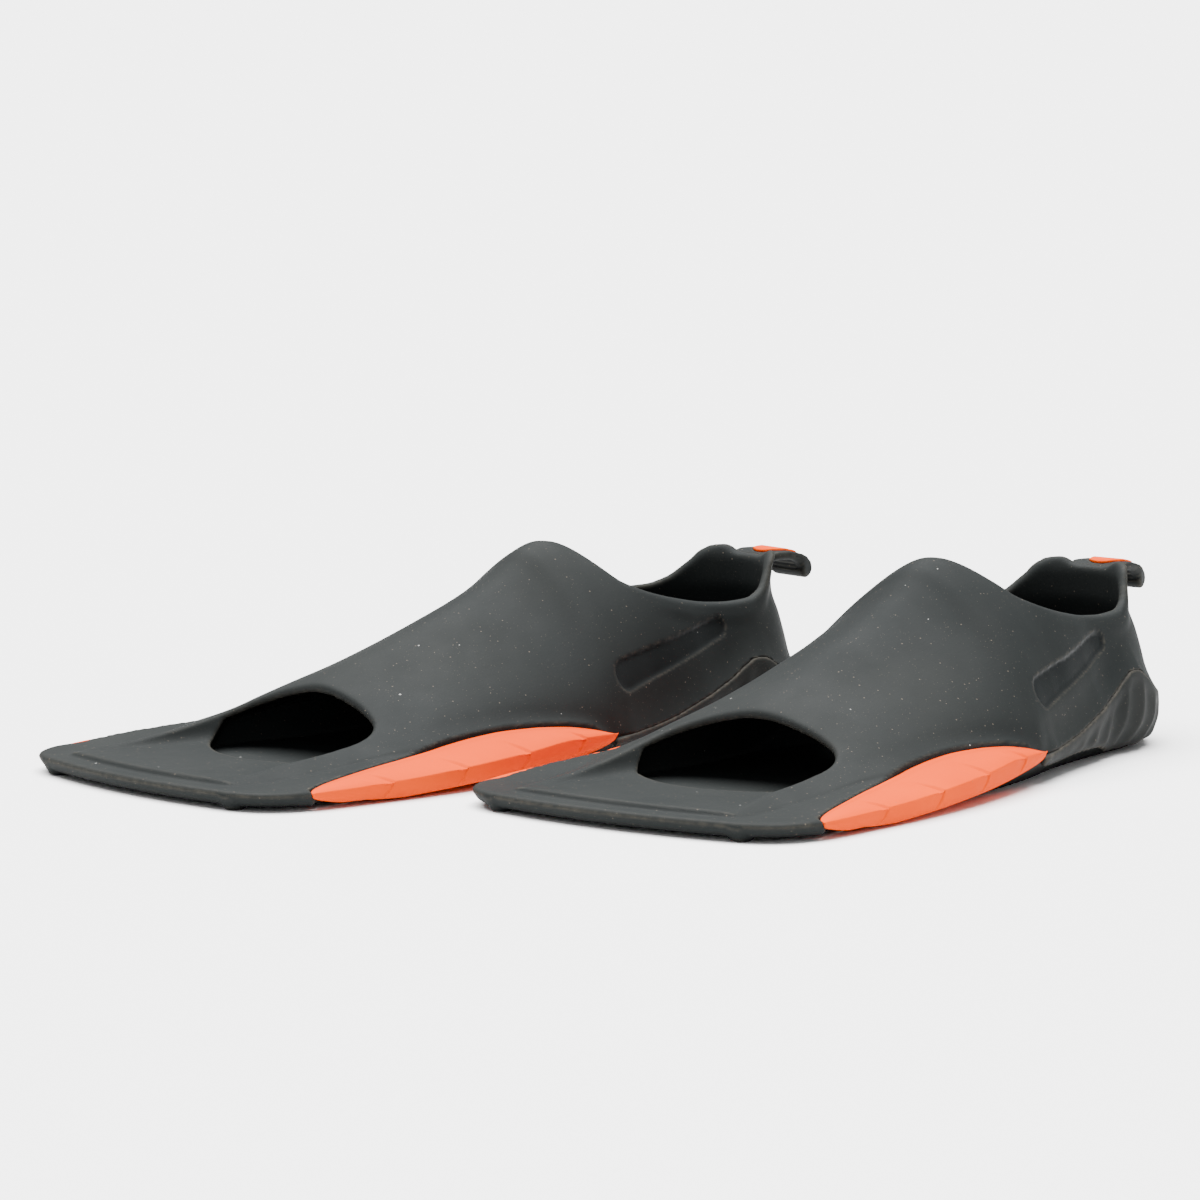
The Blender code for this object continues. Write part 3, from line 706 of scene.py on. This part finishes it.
def insert_mesh(side):
    """A side insert: rows of points that lean with its chevron steps, so that those are crisp."""
    start, end = INSERT_SPAN
    stations = np.linspace(start, end, int((end - start) / INSERT_ROW))
    for at in CHEVRONS:
        stations = stations[np.abs(stations - at) > 0.6]
        stations = np.append(stations, [at - 0.25, at + 0.25])
    rows = []
    for y in np.sort(stations):
        ahead = [at - y for at in CHEVRONS if at > y]
        dip = max(0.0, 1 - ahead[0] / 10.0) if ahead else 0.0
        lean = ramp(y, start, start + 32) * (1 - ramp(y, end - 17, end))
        row = []
        for share in TOP_SHARES:
            here = y - LEAN_TOP * lean * (1 - share)
            inner, crease = insert_row(here)[:2]
            lip = 0.25 * ramp(share, 0.0, 0.05) * (1 - ramp(share, 0.09, 0.13))
            crown = 0.5 * math.sin(math.pi * share**2) + lip - 0.9 * dip * ramp(share, 0.25, 0.9)
            crown = crown * min(1.0, (crease[0] - inner[0]) / 8.0)
            point = mix(inner, crease, share) + np.array([0.0, crown])
            row.append((point[0], here, point[1]))
        for share in SIDE_SHARES:
            here = y - LEAN_SIDE * lean * share**1.5
            crease, foot = insert_row(here)[1:3]
            point = mix(crease, foot, share) + np.array([-0.5 * dip * (1 - ramp(share, 0.6, 1.0)), 0.0])
            row.append((point[0] + 0.5 * math.sin(math.pi * share), here, point[1]))
        inner, _, foot, base = insert_row(y)
        for back in (mix(foot, base, 0.3), mix(foot, base, 0.65), base, mix(base, inner, 0.5)):
            row.append((back[0], y, back[1]))
        rows.append(row)
    points = np.array(rows)
    count = points.shape[1]
    points = points.reshape(-1, 3)
    index = np.arange(len(points)).reshape(-1, count)
    after = np.roll(index, -1, axis=1)
    quads = np.stack([index[:-1], after[:-1], after[1:], index[1:]], axis=-1).reshape(-1, 4)
    if side < 0:
        points = points * np.array([-1, 1, 1])
        quads = quads[:, ::-1]
    return points, [*quads.tolist(), index[0].tolist()[::-side], index[-1].tolist()[::side]]


skin_points, skin_faces = surface_net(skin, *SKIN_BOX, STEP)
in_front = skin_points[skin_faces][:, :, 1].mean(axis=1) < SPLIT
tab_points, tab_faces = surface_net(tab, *TAB_BOX, STEP * 0.5)
inlay_points, inlay_faces = surface_net(inlay, *TAB_BOX, STEP * 0.4)
guard_points, guard_faces = surface_net(guard, *GUARD_BOX, STEP * 0.8)
sole_points, sole_faces = surface_net(sole, *SOLE_BOX, STEP)
skin_levels, guard_levels = levels_for(skin_points, skin), levels_for(guard_points, guard)
tab_levels, inlay_levels = levels_for(tab_points, tab), levels_for(inlay_points, inlay)


for fin in (Fin("left"), Fin("right")):
    used, faces = part_of(skin_faces, in_front)
    front = add_piece(fin, "blade_and_toe", skin_points[used], faces, skin_rubber,
                      ["blade", "foot_pocket"], {k: v[used] for k, v in skin_levels.items()})
    close_cut(front)
    fin.name("blade")
    fin.name("fin")
    fin.at(0, 35, 10)
    fin.at(0, 95, 10)
    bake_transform(front)
    used, faces = part_of(skin_faces, ~in_front)
    rear = add_piece(fin, "instep_and_heel", skin_points[used], faces, skin_rubber,
                     ["heel_collar"], {k: v[used] for k, v in skin_levels.items()})
    close_cut(rear)
    fin.name("fin")
    fin.name("heel_collar")
    fin.at(0, 345, 44)
    fin.at(0, 355, 68)
    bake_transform(rear)
    band = add_piece(fin, "ribbed_guard", guard_points, guard_faces, guard_rubber,
                     ["heel_guard"], guard_levels)
    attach(band, fin.name("fin"))
    pad = add_piece(fin, "grip_sole", sole_points, sole_faces, guard_rubber, ["sole"])
    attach(pad, fin.name("fin"))
    for side, label in ((1, "outer_insert"), (-1, "inner_insert")):
        points, faces = insert_mesh(side)
        leaf = add_piece(fin, label + "_leaf", points, faces, orange_rubber, [label])
        fin.name("blade")
        fin.name("fin")
        fin.at(0, 35, 10)
        fin.at(0, 95, 10)
        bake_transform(leaf)
    tongue = add_piece(fin, "tongue", tab_points, tab_faces, skin_rubber,
                       ["pull_tab"], tab_levels)
    fin.name("heel_collar")
    fin.name("pull_tab")
    fin.at(0, 351.5, 74)
    fin.at(0, 356.5, 74)
    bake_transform(tongue)
    oval = add_piece(fin, "tongue_inlay", inlay_points, inlay_faces, inlay_rubber,
                     ["tab_inlay"], inlay_levels)
    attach(oval, fin.name("pull_tab"))


# ---------------------------------------------------------------- floor, light and camera
def floor():
    bpy.ops.mesh.primitive_plane_add(size=FLOOR_SIZE, location=(0, 0, -FLOOR_DROP))
    obj = bpy.context.object
    obj.name = "studio_floor"
    material, _, shader = nodes_of("studio_floor")
    shader.inputs["Base Color"].default_value = FLOOR_GREY
    shader.inputs["Roughness"].default_value = 0.9
    shader.inputs["Specular IOR Level"].default_value = 0.1
    obj.data.materials.append(material)


def area_light(name, place, target, size, power):
    """A rectangular lamp that faces a point."""
    data = bpy.data.lights.new(name, "AREA")
    data.shape = "RECTANGLE"
    data.size, data.size_y, data.energy = size[0], size[1], power
    obj = bpy.data.objects.new(name, data)
    obj.location = place
    obj.rotation_euler = (Vector(target) - Vector(place)).to_track_quat("-Z", "Y").to_euler()
    bpy.context.scene.collection.objects.link(obj)


floor()
world = bpy.data.worlds.new("studio")
world.use_nodes = True
background = world.node_tree.nodes["Background"]
background.inputs["Color"].default_value = (1, 1, 1, 1)
background.inputs["Strength"].default_value = WORLD_STRENGTH
bpy.context.scene.world = world
sun = bpy.data.lights.new("soft_sky", "SUN")
sun.energy = SKY_STRENGTH
sun.angle = math.radians(SKY_WIDTH)
sky = bpy.data.objects.new("soft_sky", sun)
sky.rotation_euler = [math.radians(turn) for turn in SKY_TURN]
bpy.context.scene.collection.objects.link(sky)
area_light("front_fill", FILL_PLACE, FILL_TARGET, FILL_SIZE, FILL_POWER)

camera_data = bpy.data.cameras.new("camera")
camera_data.lens = CAMERA_LENS
camera_data.sensor_width = CAMERA_SENSOR
camera_data.clip_end = 100.0
camera = bpy.data.objects.new("camera", camera_data)
camera.location = CAMERA_PLACE
camera.rotation_euler = [math.radians(turn) for turn in CAMERA_TURN]
bpy.context.scene.collection.objects.link(camera)
bpy.context.scene.camera = camera
